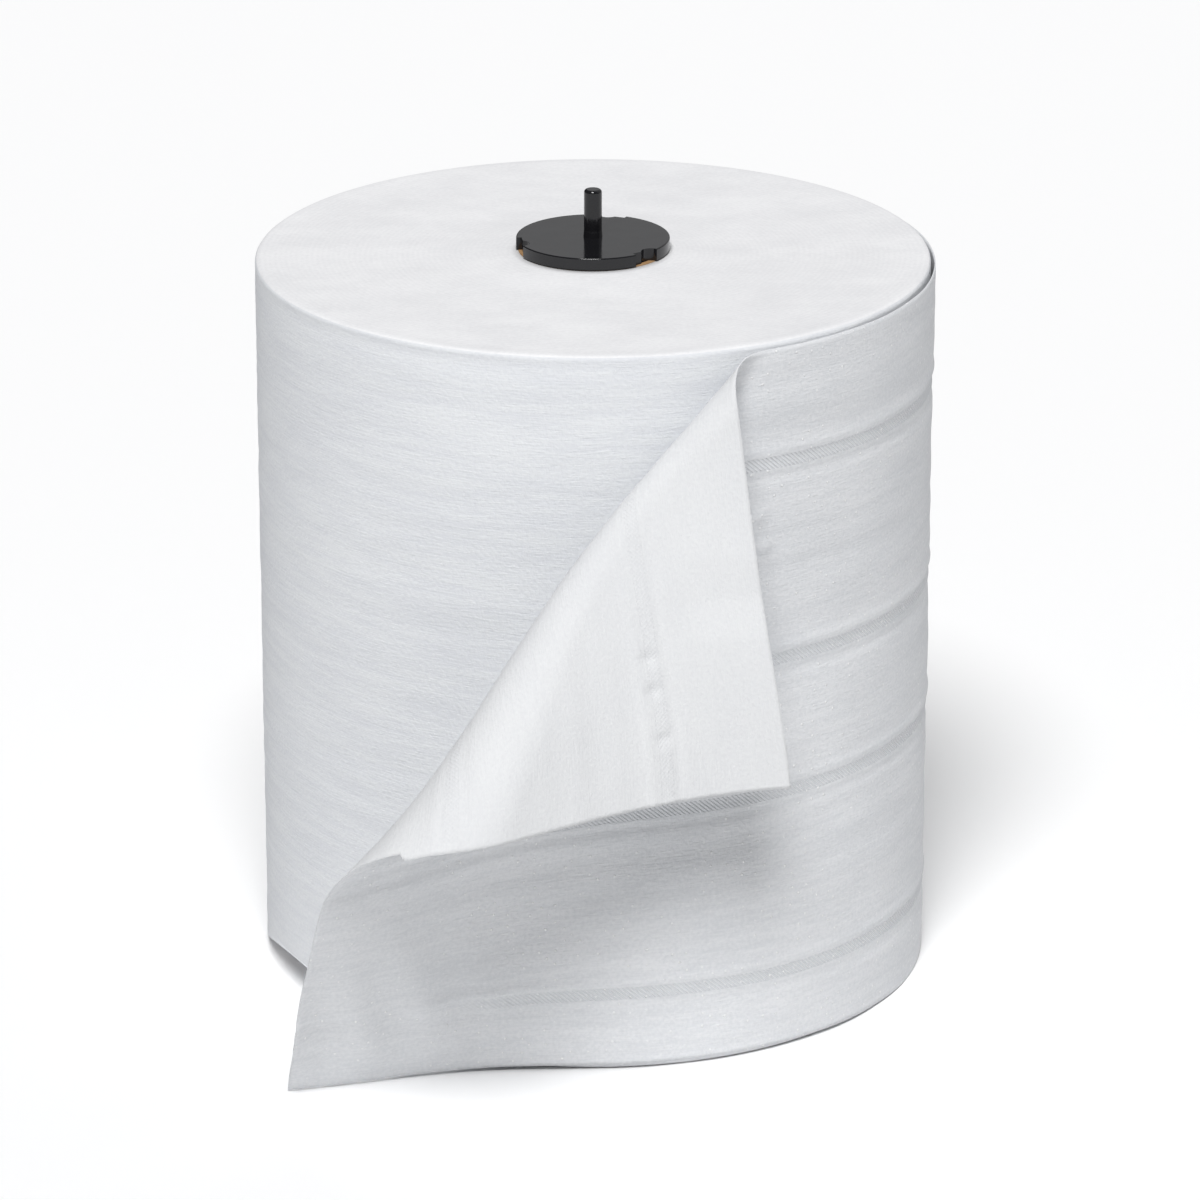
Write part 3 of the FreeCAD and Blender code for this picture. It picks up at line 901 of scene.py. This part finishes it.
# %% [markdown]
# The grid starts flat, one unit wide and high. Its cells are about 1.25 mm, fine enough for the
# ridges beside the bands. Past the nick in the cut end the paper runs 2.2 mm further out, and
# the longer part narrows towards the corner. The Solidify modifier then gives the paper its
# thickness towards the roll and puts the inner face on its own material.

# %% Lay out the flat grid
CELL = 1.25 * MM
NICK_UP = 106 * MM
LONGER_AT_NICK = 2.2 * MM
LONGER_AT_CORNER = 0.4 * MM


def longer_by(up):
    """How much further out the paper runs past the nick in its cut end."""
    if up <= NICK_UP:
        return 0.0
    past_nick = (up - NICK_UP) / (WEB_WIDTH - NICK_UP)
    return LONGER_AT_NICK + (LONGER_AT_CORNER - LONGER_AT_NICK) * past_nick


columns = round(full_length(0.5) / CELL)
rows = round(WEB_WIDTH / CELL)
web = bmesh.new()
bmesh.ops.create_grid(web, x_segments=columns, y_segments=rows, size=0.5)
laid_out = {}
for vert in web.verts:
    share = vert.co.y + 0.5
    longer = longer_by(share * WEB_WIDTH)
    along = (vert.co.x + 0.5) * (full_length(share) + longer) - longer
    laid_out[vert] = (along, share * WEB_WIDTH)
uv_layer = web.loops.layers.uv.new("web")
for face in web.faces:
    for loop in face.loops:
        loop[uv_layer].uv = laid_out[loop.vert]
print("grid: %d by %d cells" % (columns, rows))

# %% Roll it into place and raise its relief
for vert, (along, up) in laid_out.items():
    vert.co = web_point(along, up)
web.normal_update()
turn_face = max(web.faces, key=lambda face: face.calc_center_median().x)
if turn_face.normal.x < 0:
    bmesh.ops.reverse_faces(web, faces=web.faces)
web.normal_update()
shifts = {vert: vert.normal * web_relief(*place) for vert, place in laid_out.items()}
for vert, shift in shifts.items():
    vert.co += shift
print("most relief: %.1f mm" % (max(shift.length for shift in shifts.values()) / MM))

# %% Give it the paper's thickness
PAPER_THICKNESS = 0.3 * MM

loose_web = new_piece(web, "loose_web", [tissue_outside, tissue_inside])
thickness = loose_web.modifiers.new("paper thickness", "SOLIDIFY")
thickness.thickness = PAPER_THICKNESS
thickness.offset = -1
thickness.material_offset = 1
thickness.use_even_offset = False
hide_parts("paper_roll")

# %% [markdown]
# ## Floor and light
#
# The picture is a studio shot on white: one large soft light from the front and above, and pale
# surroundings that fill the shadows. A sun lamp with a wide angle does the same and lights the
# whole floor evenly, where an area lamp would leave it greyer towards the edges. A weak second
# one from behind, right of the middle, brightens the roll's right edge, gives the plug its gloss
# and leaves the shadows at the front alone.

# %% Floor
FLOOR_RADIUS = 4.0
FLOOR_CORNERS = 96

floor_material, _, floor_shader = new_material("white_studio_floor")
floor_shader.inputs["Base Color"].default_value = linear("fdfdfd")
floor_shader.inputs["Roughness"].default_value = 0.9
floor_build = bmesh.new()
bmesh.ops.create_circle(
    floor_build, cap_ends=True, segments=FLOOR_CORNERS, radius=FLOOR_RADIUS
)
floor_mesh = bpy.data.meshes.new("floor")
floor_build.to_mesh(floor_mesh)
floor_build.free()
floor_mesh.materials.append(floor_material)
floor = bpy.data.objects.new("floor", floor_mesh)
bpy.context.scene.collection.objects.link(floor)
print("floor: %.0f m across" % (2 * FLOOR_RADIUS))


# %% Light
WORLD_STRENGTH = 0.08

# Name, strength, azimuth from the front towards the right, elevation and angular width
LAMPS = [
    ("key", 3.12, math.radians(-7), math.radians(56), math.radians(24)),
    ("back", 0.65, math.radians(133), math.radians(30), math.radians(100)),
]

world = bpy.data.worlds.new("white_studio")
world.use_nodes = True
world.node_tree.nodes["Background"].inputs["Color"].default_value = linear("f4f7ff")
world.node_tree.nodes["Background"].inputs["Strength"].default_value = WORLD_STRENGTH
bpy.context.scene.world = world
bpy.context.scene.view_settings.view_transform = "Standard"

for name, strength, azimuth, elevation, spread in LAMPS:
    lamp_data = bpy.data.lights.new(name, "SUN")
    lamp_data.energy = strength
    lamp_data.angle = spread
    lamp = bpy.data.objects.new(name, lamp_data)
    level = Vector((math.sin(azimuth), -math.cos(azimuth), 0)) * math.cos(elevation)
    towards_lamp = level + Vector((0, 0, math.sin(elevation)))
    lamp.rotation_euler = (-towards_lamp).to_track_quat("-Z", "Y").to_euler()
    bpy.context.scene.collection.objects.link(lamp)
    print("%s lamp: %.2f W per square metre" % (name, strength))
